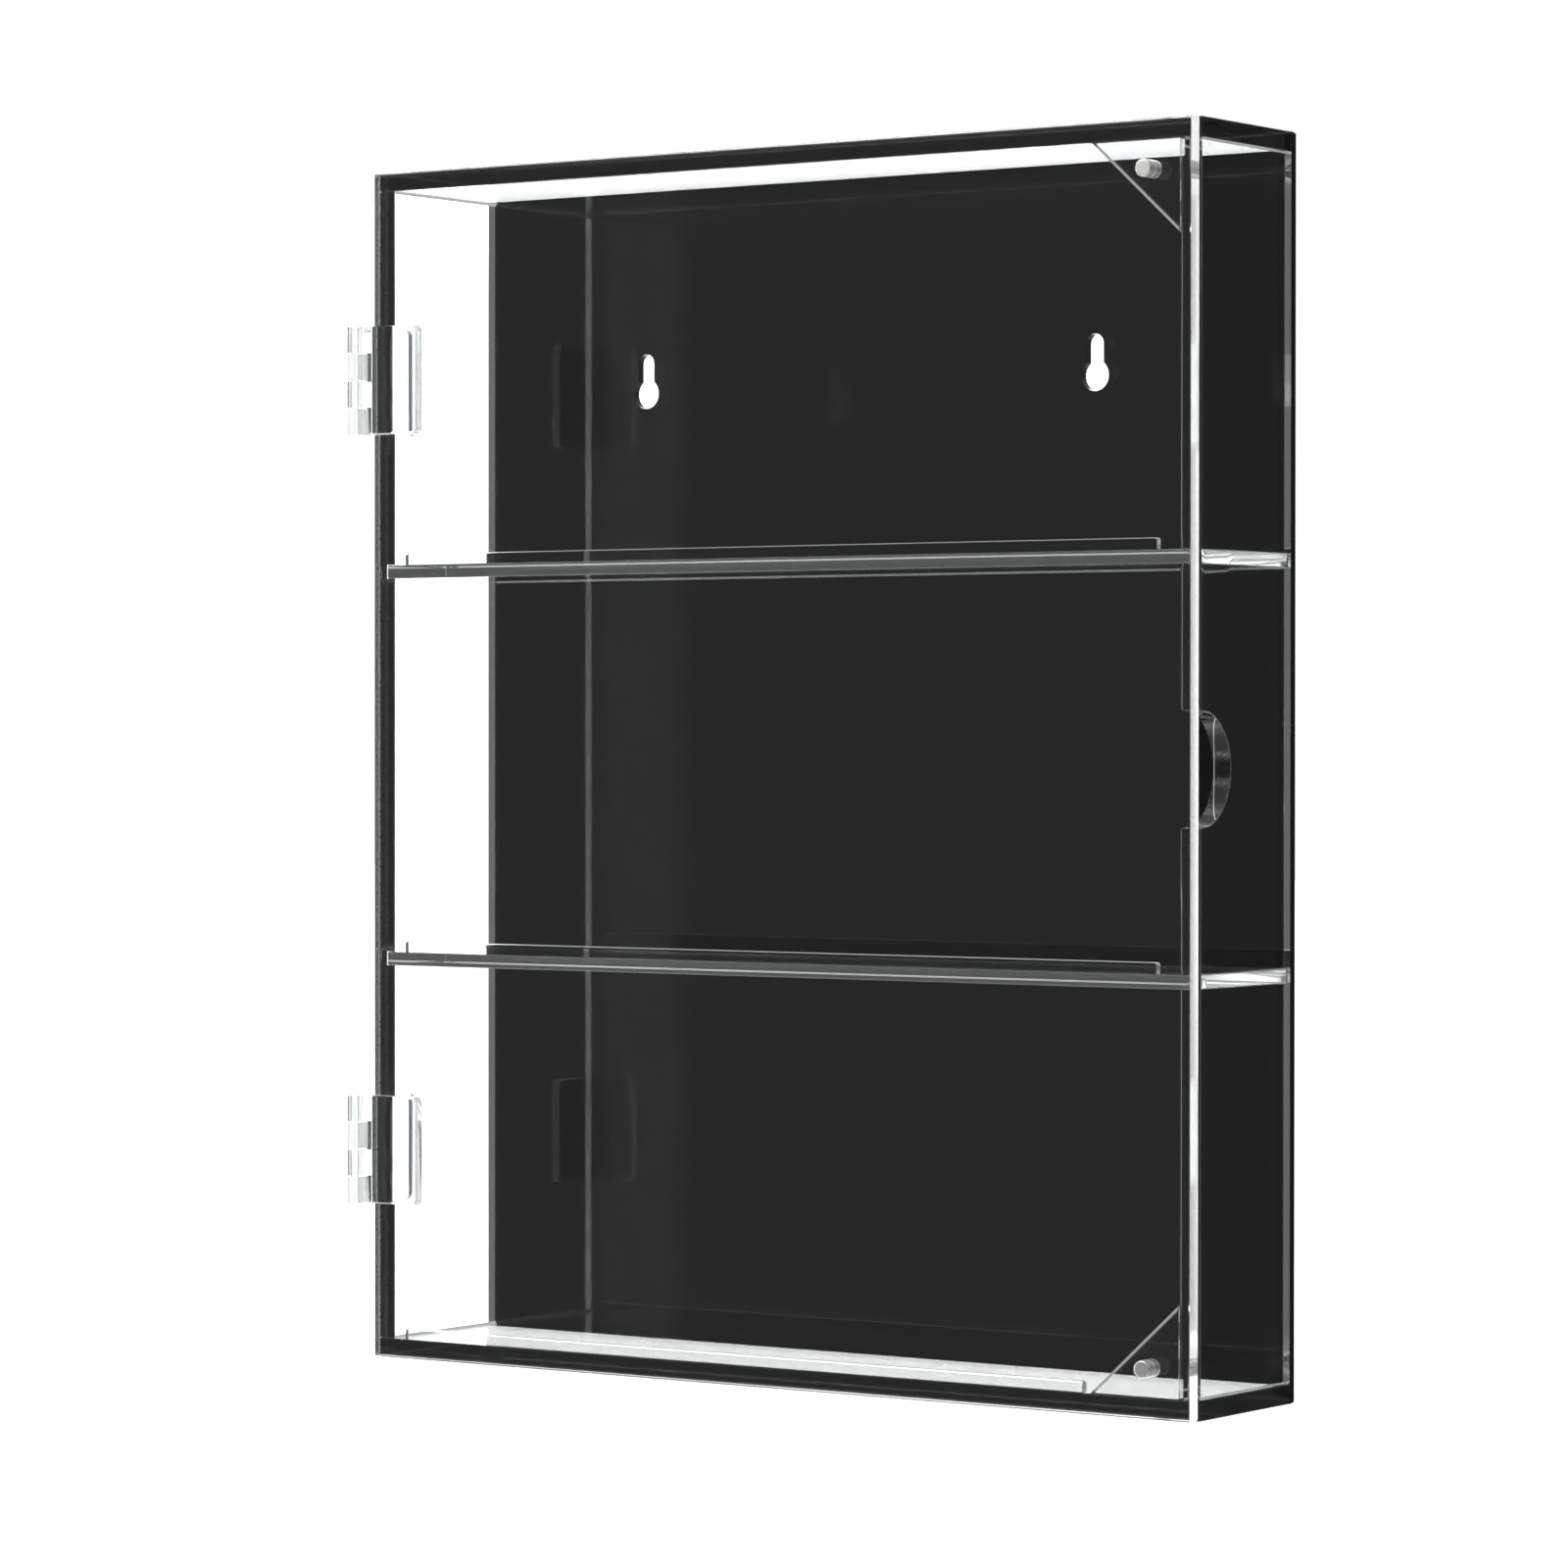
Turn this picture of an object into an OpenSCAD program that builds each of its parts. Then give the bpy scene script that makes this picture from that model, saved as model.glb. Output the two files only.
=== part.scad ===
// Wall display case for trading cards: four clear acrylic panels bonded round a black back panel,
// two shelves held in grooves, low lips that stop the cards, and a clear door that turns on two
// pinned hinges and is held shut by two pairs of magnets. All sizes are in millimetres. X runs
// from left to right, Y from the door to the wall and Z up. The origin is under the middle of
// the case, on the face that the case stands on.

/* [Case] */
// Overall width of the case
case_w = 352; // [260:1:440]
// Overall height of the case
case_h = 440; // [340:1:540]
// Depth of the clear panels, from their front edges to the back panel
panel_d = 61.2; // [45:0.1:90]
// Thickness of the clear top, bottom and side panels
wall_t = 7; // [6:0.1:9]
// Thickness of the black back panel
back_t = 3; // [2:0.1:5]
// Corner radius of the back panel
back_corner_r = 1; // [0.5:0.1:4]
// Polished bevel on the edges of the thick sheets
bevel = 0.35; // [0.1:0.05:0.6]

/* [Door] */
// Thickness of the door
door_t = 6; // [5:0.1:8]
// Air between the back of the door and the front edges of the case
door_gap = 0.5; // [0.3:0.05:1]
// How far the door stops short of the case's outline on every side
door_inset = 0.4; // [0.3:0.05:1]
// Radius of the finger notch in the right side panel
notch_r = 20; // [12:0.5:25]

/* [Shelves and lips] */
// Thickness of a shelf
shelf_t = 5; // [4:0.1:7]
// Depth of the groove that a side panel has for each shelf
groove_d = 3.6; // [2.5:0.1:4.5]
// Play of a shelf in its grooves, above it and at each end
groove_play = 0.1; // [0.05:0.05:0.3]
// Height of a lip above its shelf
lip_h = 4; // [3:0.1:8]
// Thickness of a lip
lip_t = 3; // [2:0.1:5]
// Radius of a lip's upper corners
lip_corner_r = 1; // [0.5:0.1:1.5]
// Free space between a lip and the left side panel
lip_left_gap = 5; // [3:0.5:12]
// Free space between a shelf's lip and the right side panel
lip_right_gap = 9; // [3:0.5:15]

/* [Corner gussets and magnets] */
// Length of a gusset along the top or bottom panel
gusset_w = 35; // [28:0.5:45]
// Length of a gusset along the right side panel
gusset_h = 32; // [28:0.5:45]
// Thickness of a gusset
gusset_t = 5; // [4:0.1:8]
// Free space between the bottom lip and the lower gusset
gusset_lip_gap = 3; // [2:0.5:12]
// Radius of a magnet and of the hole that it is pressed into
magnet_r = 3; // [2:0.1:3.5]
// Distance from a magnet's centre to the inner face of the right side panel
magnet_side_inset = 12.1; // [9:0.1:14]
// Distance from a magnet's centre to the inner face of the top or bottom panel
magnet_end_inset = 10.1; // [8:0.1:12]

/* [Hinges] */
// Length of a hinge along its pin
hinge_h = 40; // [30:0.5:60]
// Distance of a hinge's middle from the nearer end of the case
hinge_from_end = 77.5; // [50:0.5:120]
// Thickness of a hinge leaf
leaf_t = 3.6; // [2.6:0.1:4.4]
// How far a leaf reaches from the case's front left corner
leaf_reach = 23; // [18:0.5:30]
// Corner radius of a leaf's free end
leaf_corner_r = 2.5; // [1:0.1:5]
// How far the pin's axis stands outside the leaves' outer faces
axis_out = 1.3; // [0.8:0.1:1.6]
// Outer radius of the knuckles
knuckle_r = 2.8; // [2.4:0.1:3.4]
// Radius of the hinge pin, which the case's knuckles hold tight
pin_r = 1.25; // [0.9:0.05:1.6]
// Radial play of the door's knuckles on the pin
pin_play = 0.05; // [0.03:0.01:0.1]
// Air between neighbouring knuckles
knuckle_gap = 0.4; // [0.3:0.05:0.8]
// How far a leaf's plate stops short of the case's corner
leaf_setback = 0.4; // [0.3:0.05:0.8]

/* [Keyholes] */
// Distance between the two keyholes
keyhole_spacing = 196; // [120:1:230]
// Distance from the top of the case to the centres of the keyholes' round heads
keyhole_drop = 81.5; // [40:0.5:120]
// Radius of a keyhole's head
keyhole_head_r = 5.6; // [4.5:0.1:7]
// Width of a keyhole's slot
keyhole_slot_w = 7; // [4:0.1:7]
// Distance from the centre of the head to the centre of the slot's round end
keyhole_rise = 11.2; // [9:0.1:16]

/* [Hidden] */
$fn = 72;

// A cutter reaches this far past the faces that it opens.
over = 1;
clear_tint = [0.86, 0.92, 0.94, 0.35];
black_tint = [0.06, 0.06, 0.065];
nickel_tint = [0.80, 0.81, 0.82];
knuckle_count = 4;

// Planes across the depth, from the door's front face to the wall face.
total_d = door_t + door_gap + panel_d + back_t;
door_front_y = -total_d / 2;
shell_front_y = door_front_y + door_t + door_gap;
back_front_y = shell_front_y + panel_d;

// Half the width outside and inside the side panels, and the height of a side panel.
half_w = case_w / 2;
inner_half_w = half_w - wall_t;
side_h = case_h - 2 * wall_t;

// The two shelves part the inside into three equal tiers.
tier_h = (side_h - 2 * shelf_t) / 3;
lower_shelf_z = wall_t + tier_h;
upper_shelf_z = lower_shelf_z + shelf_t + tier_h;
shelf_tongue = groove_d - groove_play;

// Places of the magnets.
magnet_x = inner_half_w - magnet_side_inset;
upper_magnet_z = case_h - wall_t - magnet_end_inset;
lower_magnet_z = wall_t + magnet_end_inset;

// Distance from the hinges' shared axis to the faces that the leaves are bonded to, and from
// the axis to the near end of a leaf's plate.
axis_offset = leaf_t + axis_out;
plate_start = axis_offset + leaf_setback;
upper_hinge_z = case_h - hinge_from_end;
lower_hinge_z = hinge_from_end;
knuckle_h = (hinge_h - (knuckle_count - 1) * knuckle_gap) / knuckle_count;

// ---------------------------------------------------------------- outlines and sheets

// Rectangle w by h whose four corners are cut off at 45 degrees.
module cut_corner_rect(w, h, cut) {
    polygon([
        [cut, 0], [w - cut, 0], [w, cut], [w, h - cut],
        [w - cut, h], [cut, h], [0, h - cut], [0, cut]
    ]);
}

// Rectangle w by h with round corners of radius r.
module round_rect(w, h, r) {
    translate([r, 0]) square([w - 2 * r, h]);
    translate([0, r]) square([w, h - 2 * r]);
    for (x = [r, w - r], y = [r, h - r]) translate([x, y]) circle(r);
}

// Thick sheet, cut and polished: a box with a fine bevel along each of its edges.
module sheet(size) {
    intersection() {
        linear_extrude(size.z) cut_corner_rect(size.x, size.y, bevel);
        translate([0, size.y, 0]) rotate([90, 0, 0])
            linear_extrude(size.y) cut_corner_rect(size.x, size.z, bevel);
        rotate([90, 0, 90]) linear_extrude(size.x) cut_corner_rect(size.y, size.z, bevel);
    }
}

// Stands an outline upright, facing the door, with its thickness running from y to the wall.
module upright(y, thickness) {
    translate([0, y + thickness, 0]) rotate([90, 0, 0]) linear_extrude(thickness) children();
}

// ---------------------------------------------------------------- panels

// Round head that a screw's head passes through, and the slot above it that holds the screw.
module keyhole_outline() {
    circle(keyhole_head_r);
    translate([-keyhole_slot_w / 2, 0]) square([keyhole_slot_w, keyhole_rise]);
    translate([0, keyhole_rise]) circle(keyhole_slot_w / 2);
}

// Black sheet over the whole back, bonded to the rear edges of the clear panels.
module back_panel() {
    color(black_tint) difference() {
        upright(back_front_y, back_t)
            translate([-half_w, 0]) round_rect(case_w, case_h, back_corner_r);
        for (side = [-1, 1])
            upright(back_front_y - over, back_t + 2 * over)
                translate([side * keyhole_spacing / 2, case_h - keyhole_drop]) keyhole_outline();
    }
}

// Top or bottom panel, which runs the full width and covers the ends of the side panels.
module end_panel(z) {
    color(clear_tint) translate([-half_w, shell_front_y, z]) sheet([case_w, panel_d, wall_t]);
}

module top_panel() {
    end_panel(case_h - wall_t);
}

module bottom_panel() {
    end_panel(0);
}

// Side panel on the side -1 (left) or 1 (right), with a groove for each shelf in its inner face.
module side_panel(side) {
    groove_start = side > 0 ? inner_half_w - over : -inner_half_w - groove_d;
    difference() {
        translate([side > 0 ? inner_half_w : -half_w, shell_front_y, wall_t])
            sheet([wall_t, panel_d, side_h]);
        for (z = [lower_shelf_z, upper_shelf_z])
            translate([groove_start, shell_front_y - over, z])
                cube([groove_d + over, panel_d + 2 * over, shelf_t + groove_play]);
    }
}

module left_side_panel() {
    color(clear_tint) side_panel(-1);
}

// The right side panel also has the half-round notch through which a finger pulls the door.
module right_side_panel() {
    color(clear_tint) difference() {
        side_panel(1);
        translate([inner_half_w - over, shell_front_y, case_h / 2]) rotate([0, 90, 0])
            cylinder(h = wall_t + 2 * over, r = notch_r);
    }
}

// ---------------------------------------------------------------- shelves and lips

// A shelf lies on the lower faces of its grooves and is bonded to the back panel.
module shelf(z) {
    color(clear_tint) translate([-inner_half_w - shelf_tongue, shell_front_y, z])
        sheet([2 * (inner_half_w + shelf_tongue), panel_d, shelf_t]);
}

module upper_shelf() {
    shelf(upper_shelf_z);
}

module lower_shelf() {
    shelf(lower_shelf_z);
}

// Strip that stands on the front of a shelf, with its two upper corners rounded.
module lip(z, right_end) {
    left_end = -inner_half_w + lip_left_gap;
    length = right_end - left_end;
    color(clear_tint) upright(shell_front_y, lip_t) translate([left_end, z]) {
        square([length, lip_h - lip_corner_r]);
        translate([lip_corner_r, 0]) square([length - 2 * lip_corner_r, lip_h]);
        for (x = [lip_corner_r, length - lip_corner_r])
            translate([x, lip_h - lip_corner_r]) circle(lip_corner_r);
    }
}

module upper_shelf_lip() {
    lip(upper_shelf_z + shelf_t, inner_half_w - lip_right_gap);
}

module lower_shelf_lip() {
    lip(lower_shelf_z + shelf_t, inner_half_w - lip_right_gap);
}

// The bottom lip is shorter, because the lower gusset stands in the corner beside it.
module bottom_lip() {
    lip(wall_t, inner_half_w - gusset_w - gusset_lip_gap);
}

// ---------------------------------------------------------------- gussets and magnets

// Hole for one magnet, through a sheet whose front face is at y.
module magnet_hole(y, sheet_t, z) {
    translate([magnet_x, y - over, z]) rotate([-90, 0, 0])
        cylinder(h = sheet_t + 2 * over, r = magnet_r);
}

// Triangle across a right-hand corner, behind the door, that carries a magnet. The corner is at
// height z, and way is 1 when the gusset stands up from there or -1 when it hangs down.
module gusset(z, way) {
    color(clear_tint) difference() {
        upright(shell_front_y, gusset_t) translate([inner_half_w, z])
            polygon([[0, 0], [-gusset_w, 0], [0, way * gusset_h]]);
        magnet_hole(shell_front_y, gusset_t, z + way * magnet_end_inset);
    }
}

module upper_corner_gusset() {
    gusset(case_h - wall_t, -1);
}

module lower_corner_gusset() {
    gusset(wall_t, 1);
}

// Round magnet that fills its hole, with a fine bevel round each rim.
module magnet(y, z, length) {
    color(nickel_tint) translate([magnet_x, y, z]) rotate([-90, 0, 0]) rotate_extrude()
        polygon([
            [0, 0], [magnet_r - bevel, 0], [magnet_r, bevel],
            [magnet_r, length - bevel], [magnet_r - bevel, length], [0, length]
        ]);
}

module upper_case_magnet() {
    magnet(shell_front_y, upper_magnet_z, gusset_t);
}

module lower_case_magnet() {
    magnet(shell_front_y, lower_magnet_z, gusset_t);
}

module upper_door_magnet() {
    magnet(door_front_y, upper_magnet_z, door_t);
}

module lower_door_magnet() {
    magnet(door_front_y, lower_magnet_z, door_t);
}

// ---------------------------------------------------------------- door

// Clear sheet over the whole front, with a magnet hole near each right-hand corner.
module door_panel() {
    color(clear_tint) difference() {
        translate([-half_w + door_inset, door_front_y, door_inset])
            sheet([case_w - 2 * door_inset, door_t, case_h - 2 * door_inset]);
        for (z = [lower_magnet_z, upper_magnet_z]) magnet_hole(door_front_y, door_t, z);
    }
}

// ---------------------------------------------------------------- hinges

// Moves a piece drawn on the Z axis, from z = 0 up, to the pin of the hinge centred at height z.
module on_hinge(z) {
    translate([-half_w - axis_offset, door_front_y - axis_offset, z - hinge_h / 2]) children();
}

// Plate of a leaf, drawn along +X beside the pin, with its two free corners rounded.
module leaf_plate() {
    length = leaf_reach - leaf_setback;
    translate([plate_start, 0, 0]) upright(axis_out, leaf_t) {
        square([length - leaf_corner_r, hinge_h]);
        translate([0, leaf_corner_r]) square([length, hinge_h - 2 * leaf_corner_r]);
        for (z = [leaf_corner_r, hinge_h - leaf_corner_r])
            translate([length - leaf_corner_r, z]) circle(leaf_corner_r);
    }
}

// Knuckle and the web that joins it to the near end of the plate, seen along the pin.
module knuckle_outline() {
    wall_middle_r = (pin_r + knuckle_r) / 2;
    circle(knuckle_r);
    polygon([
        [0, axis_out], [plate_start, axis_out], [plate_start, axis_offset], [0, wall_middle_r]
    ]);
}

// One leaf. It has every second knuckle, counted up from the one numbered first.
module leaf(first, bore_r) {
    color(clear_tint) difference() {
        union() {
            leaf_plate();
            for (i = [first:2:knuckle_count - 1])
                translate([0, 0, i * (knuckle_h + knuckle_gap)])
                    linear_extrude(knuckle_h) knuckle_outline();
        }
        translate([0, 0, -over]) cylinder(h = hinge_h + 2 * over, r = bore_r);
    }
}

// The case's leaf lies on the left side panel, holds the pin tight and has the lowest knuckle,
// so the door's leaf is carried on it.
module case_leaf(z) {
    on_hinge(z) mirror([1, -1, 0]) leaf(0, pin_r);
}

// The door's leaf lies on the front of the door and turns on the pin.
module door_leaf(z) {
    on_hinge(z) leaf(1, pin_r + pin_play);
}

module hinge_pin(z) {
    color(clear_tint) on_hinge(z) cylinder(h = hinge_h, r = pin_r);
}

module upper_hinge_case_leaf() {
    case_leaf(upper_hinge_z);
}

module lower_hinge_case_leaf() {
    case_leaf(lower_hinge_z);
}

module upper_hinge_door_leaf() {
    door_leaf(upper_hinge_z);
}

module lower_hinge_door_leaf() {
    door_leaf(lower_hinge_z);
}

module upper_hinge_pin() {
    hinge_pin(upper_hinge_z);
}

module lower_hinge_pin() {
    hinge_pin(lower_hinge_z);
}

back_panel();
top_panel();
bottom_panel();
left_side_panel();
right_side_panel();
upper_shelf();
lower_shelf();
upper_shelf_lip();
lower_shelf_lip();
bottom_lip();
upper_corner_gusset();
lower_corner_gusset();
upper_case_magnet();
lower_case_magnet();
door_panel();
upper_door_magnet();
lower_door_magnet();
upper_hinge_case_leaf();
lower_hinge_case_leaf();
upper_hinge_door_leaf();
lower_hinge_door_leaf();
upper_hinge_pin();
lower_hinge_pin();
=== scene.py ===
"""Looks of the trading card display case: finishes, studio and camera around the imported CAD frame."""

import logging
import math
from dataclasses import dataclass
from enum import Enum
from typing import Any

import bmesh
import bpy
from mathutils import Euler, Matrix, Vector


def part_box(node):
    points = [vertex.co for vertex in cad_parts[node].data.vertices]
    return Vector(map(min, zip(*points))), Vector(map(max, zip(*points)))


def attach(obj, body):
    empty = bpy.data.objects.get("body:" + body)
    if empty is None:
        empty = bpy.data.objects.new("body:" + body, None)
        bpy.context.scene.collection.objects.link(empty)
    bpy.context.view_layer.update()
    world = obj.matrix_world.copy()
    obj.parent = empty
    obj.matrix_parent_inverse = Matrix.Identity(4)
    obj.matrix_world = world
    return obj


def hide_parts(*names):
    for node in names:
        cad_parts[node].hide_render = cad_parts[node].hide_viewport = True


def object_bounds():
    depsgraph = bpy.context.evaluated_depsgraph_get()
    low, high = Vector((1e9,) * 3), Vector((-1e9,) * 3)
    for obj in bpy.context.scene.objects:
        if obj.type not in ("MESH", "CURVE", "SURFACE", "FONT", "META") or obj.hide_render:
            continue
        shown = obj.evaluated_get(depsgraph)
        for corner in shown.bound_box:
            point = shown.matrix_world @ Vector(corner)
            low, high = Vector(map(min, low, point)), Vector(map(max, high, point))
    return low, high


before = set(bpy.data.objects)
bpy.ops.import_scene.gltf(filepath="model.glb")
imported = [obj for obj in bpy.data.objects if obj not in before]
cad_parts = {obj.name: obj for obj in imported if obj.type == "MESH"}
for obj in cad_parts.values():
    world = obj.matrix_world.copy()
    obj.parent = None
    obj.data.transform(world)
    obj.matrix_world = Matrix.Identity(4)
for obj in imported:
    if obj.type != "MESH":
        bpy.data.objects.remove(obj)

CAD_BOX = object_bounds()

logging.basicConfig(level=logging.INFO, format="%(name)s: %(message)s")
LOG = logging.getLogger("card_case")

MM = 0.001

HAIR = 0.03 * MM
"""Overlap of two sheets in a bonded joint, and the film of air in a dry one."""

ARRIS = 0.35 * MM
"""Radius of the rounded arrises on the CAD sheets."""

FINE_EDGE = 0.12 * MM
"""Radius that flame polishing leaves on a cut edge."""

WELD = 0.002 * MM
"""Vertices closer than this are one."""

ON_FACE = 0.01 * MM
"""A vertex this close to a face's level lies on the face."""

FLAT = math.radians(0.5)
"""Faces that meet at a smaller angle are merged into one."""

SHARP = math.radians(20.0)
"""Edges with a larger angle are rounded."""

HARD = math.radians(60.0)
"""Edges with a larger angle after rounding are shaded as corners."""

ACRYLIC_IOR = 1.491

NOISE_LOW, NOISE_HIGH = 0.3, 0.7
"""Between these lie nearly all values of a noise texture."""


class Body(Enum):
    """The CAD body that a piece rides on."""

    CASE = "case"
    DOOR = "door"


class Axis(Enum):
    """One axis of the frame, named as a separated vector's outputs are."""

    X = "X"
    Y = "Y"
    Z = "Z"

    @property
    def index(self) -> int:
        """Place of the axis in a vector."""
        return "XYZ".index(self.value)


class Slot(Enum):
    """Names of the record's material slots."""

    CLEAR = "clear_acrylic"
    BLACK = "black_acrylic"
    HINGE = "hinge_acrylic"
    NICKEL = "nickel"


def linear(code: str) -> tuple[float, float, float, float]:
    """Turns an sRGB hex colour into linear light.

    Args:
        code: Six hex digits after a hash, such as "#C9CACB".

    Returns:
        Red, green, blue and an alpha of 1, in linear light.
    """
    parts = [int(code[i:i + 2], 16) / 255.0 for i in (1, 3, 5)]
    rgb = [p / 12.92 if p <= 0.04045 else ((p + 0.055) / 1.055) ** 2.4 for p in parts]
    return (rgb[0], rgb[1], rgb[2], 1.0)


def add_node(
    tree: bpy.types.NodeTree, kind: str, values: dict[Any, Any] | None = None, **settings: Any
) -> bpy.types.Node:
    """Adds one shader node, sets its sockets and properties, and links what is given as a socket.

    Args:
        tree: The node tree that gets the node.
        kind: Blender's type name of the node.
        values: Input socket (name or number) to a constant or to an output socket to link.
        **settings: Properties of the node, such as operation.

    Returns:
        The new node.
    """
    node = tree.nodes.new(kind)
    for name, value in settings.items():
        setattr(node, name, value)
    for key, value in (values or {}).items():
        if isinstance(value, bpy.types.NodeSocket):
            tree.links.new(value, node.inputs[key])
        else:
            node.inputs[key].default_value = value
    return node


def add_math(tree: bpy.types.NodeTree, operation: str, *terms: Any) -> bpy.types.NodeSocket:
    """Adds one math node and returns its result."""
    return add_node(tree, "ShaderNodeMath", dict(enumerate(terms)), operation=operation).outputs["Value"]


def add_ramp(
    tree: bpy.types.NodeTree, value: bpy.types.NodeSocket, start: float, end: float,
    low: float, high: float, shape: str = "LINEAR",
) -> bpy.types.NodeSocket:
    """Adds a ramp that stays level outside its ends.

    Args:
        tree: The node tree.
        value: What the ramp reads.
        start: Value at which the ramp begins.
        end: Value at which it ends.
        low: Result at and before the start.
        high: Result at and after the end.
        shape: Blender's name of the interpolation.

    Returns:
        The result.
    """
    return add_node(tree, "ShaderNodeMapRange", {
        "Value": value, "From Min": start, "From Max": end, "To Min": low, "To Max": high,
    }, interpolation_type=shape).outputs["Result"]


def add_noise(tree: bpy.types.NodeTree, size: float, detail: float) -> bpy.types.NodeSocket:
    """Adds noise that is fixed to the piece.

    Args:
        tree: The node tree.
        size: Size of its patches, in millimetres.
        detail: How many finer layers it has.

    Returns:
        The noise, from 0 to 1.
    """
    coords = add_node(tree, "ShaderNodeTexCoord")
    return add_node(tree, "ShaderNodeTexNoise", {
        "Vector": coords.outputs["Object"], "Scale": 1.0 / (size * MM), "Detail": detail,
    }).outputs["Fac"]


def new_material(name: str) -> bpy.types.Material:
    """Makes a node material with no nodes, named for what the real material is."""
    material = bpy.data.materials.new(name)
    material.use_nodes = True
    material.node_tree.nodes.clear()
    return material


@dataclass(frozen=True)
class ClearCastAcrylic:
    """Clear cast acrylic sheet, laser cut, its cut edges flame polished.

    It gives the eye glass-like sheets with slow waves. Edges with cutting marks left on them glow
    softly, because the marks scatter the light that the sheet pipes to them.

    broad is the axis that the broad faces look along. All other faces are cut edges, and the one
    that looks along sawn_side, to plus or minus as sawn_way says, was sawn and left less polished.
    The two haze values are the share of the light that such faces scatter. The sizes of the cutting
    marks and of the waves are in millimetres, and a wave's height in metres.
    """

    name: str = "clear_cast_acrylic"
    broad: Axis = Axis.Y
    tint: str = "#FDFEFE"
    scatter: str = "#F4F6F6"
    edge_roughness: float = 0.0
    edge_haze: float = 0.0
    sawn_side: Axis = Axis.Y
    sawn_way: float = -1.0
    sawn_roughness: float = 0.0
    sawn_haze: float = 0.0
    broad_limit: float = 0.9
    sawn_limit: float = 0.5
    mark_size: float = 1.111
    mark_unevenness: float = 0.15
    wave_size: float = 71.43
    wave_height: float = 0.2 * MM
    wave_strength: float = 0.02

    def material(self) -> bpy.types.Material:
        """Builds the sheet's node material.

        Returns:
            The finish for sheets whose broad faces look along the given axis.
        """
        material = new_material(f"{self.name}_{self.broad.name.lower()}")
        tree = material.node_tree
        bump = add_node(tree, "ShaderNodeBump", {
            "Strength": self.wave_strength, "Distance": self.wave_height,
            "Height": add_noise(tree, self.wave_size, 1.0),
        })
        shader = add_node(tree, "ShaderNodeBsdfPrincipled", {
            "Base Color": linear(self.tint), "Roughness": 0.0, "IOR": ACRYLIC_IOR,
            "Transmission Weight": 1.0, "Normal": bump.outputs["Normal"],
        })
        surface = shader.outputs["BSDF"]
        rough = self.edge_roughness > 0.0 or self.sawn_roughness > 0.0
        hazy = self.edge_haze > 0.0 or self.sawn_haze > 0.0
        if rough or hazy:
            cut, sawn = self.add_edge_masks(tree)
            if rough:
                tree.links.new(self.add_roughness(tree, cut, sawn), shader.inputs["Roughness"])
            if hazy:
                surface = self.add_haze(tree, surface, cut, sawn)
        add_node(tree, "ShaderNodeOutputMaterial", {"Surface": surface})
        return material

    def add_edge_masks(
        self, tree: bpy.types.NodeTree
    ) -> tuple[bpy.types.NodeSocket, bpy.types.NodeSocket]:
        """Finds the cut edges, and the sawn one among them.

        Args:
            tree: The node tree.

        Returns:
            Two values that are 1 on every cut edge and on the sawn edge, and 0 elsewhere.
        """
        coords = add_node(tree, "ShaderNodeTexCoord")
        normal = add_node(tree, "ShaderNodeSeparateXYZ", {0: coords.outputs["Normal"]}).outputs
        facing = add_math(tree, "ABSOLUTE", normal[self.broad.value])
        cut = add_math(tree, "LESS_THAN", facing, self.broad_limit)
        # Seen from inside the sheet the normal is turned round, so it is turned back here.
        geometry = add_node(tree, "ShaderNodeNewGeometry")
        inside = add_math(tree, "MULTIPLY_ADD", geometry.outputs["Backfacing"], -2.0, 1.0)
        outward = add_math(tree, "MULTIPLY", normal[self.sawn_side.value], inside)
        aligned = add_math(tree, "MULTIPLY", outward, self.sawn_way)
        return cut, add_math(tree, "GREATER_THAN", aligned, self.sawn_limit)

    def add_roughness(
        self, tree: bpy.types.NodeTree, cut: bpy.types.NodeSocket, sawn: bpy.types.NodeSocket
    ) -> bpy.types.NodeSocket:
        """Makes the roughness of the cut edges, uneven as their cutting marks are.

        Args:
            tree: The node tree.
            cut: 1 on cut edges.
            sawn: 1 on the sawn edge.

        Returns:
            The roughness.
        """
        edge = add_node(tree, "ShaderNodeMix", {
            "Factor": sawn, "A": self.edge_roughness, "B": self.sawn_roughness,
        }).outputs["Result"]
        marks = add_noise(tree, self.mark_size, 2.0)
        depth = add_ramp(tree, marks, NOISE_LOW, NOISE_HIGH,
                         1.0 - self.mark_unevenness, 1.0 + self.mark_unevenness)
        return add_math(tree, "MULTIPLY", cut, add_math(tree, "MULTIPLY", edge, depth))

    def add_haze(
        self, tree: bpy.types.NodeTree, surface: bpy.types.NodeSocket,
        cut: bpy.types.NodeSocket, sawn: bpy.types.NodeSocket,
    ) -> bpy.types.NodeSocket:
        """Lets the cut edges scatter a share of the light.

        Args:
            tree: The node tree.
            surface: The clear surface.
            cut: 1 on cut edges.
            sawn: 1 on the sawn edge.

        Returns:
            The surface with its haze.
        """
        edges = add_math(tree, "MULTIPLY", cut, self.edge_haze)
        share = add_math(tree, "MULTIPLY_ADD", sawn, self.sawn_haze, edges)
        frost = add_node(tree, "ShaderNodeBsdfDiffuse", {"Color": linear(self.scatter)})
        return add_node(tree, "ShaderNodeMixShader", {
            "Fac": share, 1: surface, 2: frost.outputs["BSDF"],
        }).outputs["Shader"]


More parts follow.
